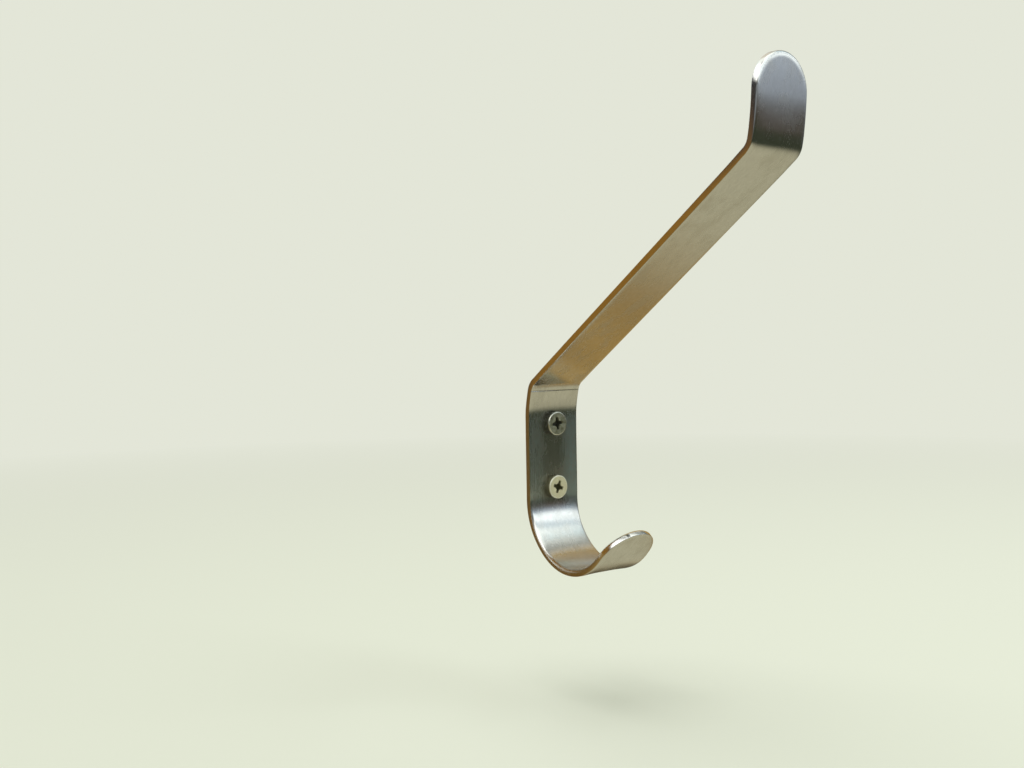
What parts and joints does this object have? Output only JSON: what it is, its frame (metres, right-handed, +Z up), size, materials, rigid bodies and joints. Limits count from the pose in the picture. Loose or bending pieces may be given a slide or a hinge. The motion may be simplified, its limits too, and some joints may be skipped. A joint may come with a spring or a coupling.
{
  "type": "coat hook",
  "caption": "Steel coat hook bent from one flat strip: a wall plate held by wood screws, a long sloping arm with an upright tip above, and a small curled hook below.",
  "frame": {"origin": "on the wall plane, at the back of the plate, midway between the two screws", "axes": "+Z up the wall, +Y into the wall, -Y out from the wall towards the user, +X across the strip"},
  "size_m": [0.02, 0.1079, 0.1454],
  "materials": {
    "brushed_steel": "brushed along the strip",
    "zinc_grey": "grey zinc plating",
    "zinc_pale": "pale yellowish zinc plating"
  },
  "bodies": {
    "root": {"hook": "brushed_steel", "upper_screw": "zinc_grey", "lower_screw": "zinc_pale"}
  },
  "joints": []
}
